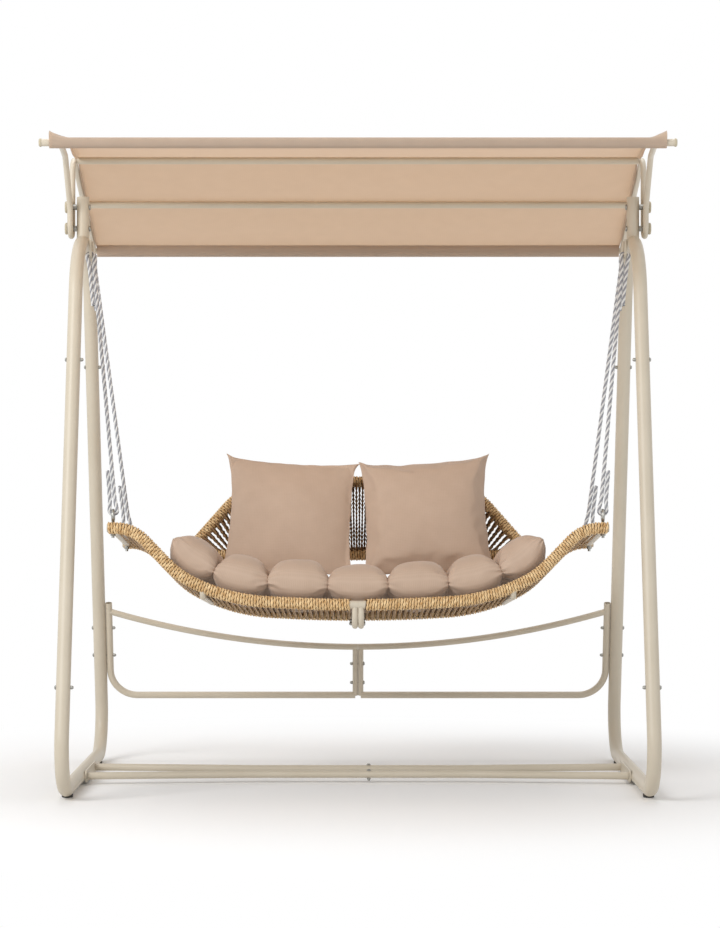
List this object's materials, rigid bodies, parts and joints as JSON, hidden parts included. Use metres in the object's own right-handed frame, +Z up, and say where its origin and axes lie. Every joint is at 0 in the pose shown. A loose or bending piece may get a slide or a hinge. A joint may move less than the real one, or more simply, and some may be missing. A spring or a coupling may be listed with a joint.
{
  "type": "canopy swing chair",
  "caption": "Free-standing garden swing: tubular A-frame sides, a tilting cloth canopy, and a boat-shaped corded seat on ropes with a channelled cushion and pillows.",
  "frame": {"origin": "on the floor, under the middle of the swing", "axes": "+X to the right as seen from the front, +Y to the back, +Z up"},
  "size_m": [1.64, 1.2782, 1.754],
  "materials": {
    "beige_paint": "satin powder coat",
    "zinc_steel": "bright zinc plate",
    "beige_plastic": "moulded, matt",
    "dark_plastic": "moulded, matt",
    "rope": "white braid with grey flecks",
    "straw_cord": "twisted straw-coloured cord",
    "canopy_cloth": "plain weave, pinkish tan",
    "cushion_cloth": "plain weave, pinkish tan"
  },
  "bodies": {
    "stand": {"arch_tube_left": "beige_paint", "arch_tube_right": "beige_paint", "brace_curved_rail_left": "beige_paint", "brace_curved_rail_right": "beige_paint", "brace_frame_left": "beige_paint", "brace_frame_right": "beige_paint", "canopy_post_left": "beige_paint", "canopy_post_right": "beige_paint", "foot_pads": "dark_plastic", "frame_bolts": "zinc_steel", "front_foot_left": "beige_paint", "front_foot_right": "beige_paint", "front_leg_left": "beige_paint", "front_leg_right": "beige_paint", "pivot_bolts": "zinc_steel", "pivot_spacers": "zinc_steel", "rear_foot_left": "beige_paint", "rear_foot_right": "beige_paint", "rear_leg_left": "beige_paint", "rear_leg_right": "beige_paint", "rope_hanger_left": "beige_paint", "rope_hanger_right": "beige_paint", "side_floor_tube_left": "beige_paint", "side_floor_tube_right": "beige_paint", "stretcher_half_left": "beige_paint", "stretcher_half_right": "beige_paint"},
    "canopy": {"canopy_bracket_left": "beige_paint", "canopy_bracket_right": "beige_paint", "canopy_cloth": "canopy_cloth", "canopy_front_middle_rail": "beige_paint", "canopy_front_rail": "beige_paint", "canopy_rear_middle_rail": "beige_paint", "canopy_rear_rail": "beige_paint", "rail_end_plugs": "beige_plastic"},
    "clamp_knob_left": {"clamp_knob_left": "beige_plastic"},
    "clamp_knob_right": {"clamp_knob_right": "beige_plastic"},
    "hanging_seat": {"back_frame": "beige_paint", "back_strands": "straw_cord", "back_wrap": "straw_cord", "eye_bolts": "zinc_steel", "front_rope_left": "rope", "front_rope_right": "rope", "left_pillow": "cushion_cloth", "rear_rope_left": "rope", "rear_rope_right": "rope", "right_pillow": "cushion_cloth", "rim_wraps": "straw_cord", "seat_cross_ribs_left": "beige_paint", "seat_cross_ribs_right": "beige_paint", "seat_cushion": "cushion_cloth", "seat_end_bar_left": "beige_paint", "seat_end_bar_right": "beige_paint", "seat_front_rim_left": "beige_paint", "seat_front_rim_right": "beige_paint", "seat_joint_bolts": "zinc_steel", "seat_rear_rim_left": "beige_paint", "seat_rear_rim_right": "beige_paint", "seat_strands": "straw_cord"},
    "pivot_knob_left": {"pivot_knob_left": "beige_plastic"},
    "pivot_knob_right": {"pivot_knob_right": "beige_plastic"}
  },
  "joints": [
    {"name": "seat_swing", "type": "hinge", "parent": "stand", "child": "hanging_seat", "pos_m": [0, 0, 1.495], "axis": [1, 0, 0], "range_deg": [-20, 20]},
    {"name": "canopy_tilt", "type": "hinge", "parent": "stand", "child": "canopy", "pos_m": [0, 0, 1.604], "axis": [1, 0, 0], "range_deg": [-10, 10]},
    {"name": "pivot_knob_right_turn", "type": "hinge", "parent": "stand", "child": "pivot_knob_right", "pos_m": [0.806, 0, 1.604], "axis": [1, 0, 0], "continuous": true},
    {"name": "clamp_knob_right_turn", "type": "hinge", "parent": "stand", "child": "clamp_knob_right", "pos_m": [0.806, 0, 1.544], "axis": [1, 0, 0], "continuous": true},
    {"name": "pivot_knob_left_turn", "type": "hinge", "parent": "stand", "child": "pivot_knob_left", "pos_m": [-0.806, 0, 1.604], "axis": [1, 0, 0], "continuous": true},
    {"name": "clamp_knob_left_turn", "type": "hinge", "parent": "stand", "child": "clamp_knob_left", "pos_m": [-0.806, 0, 1.544], "axis": [1, 0, 0], "continuous": true}
  ]
}
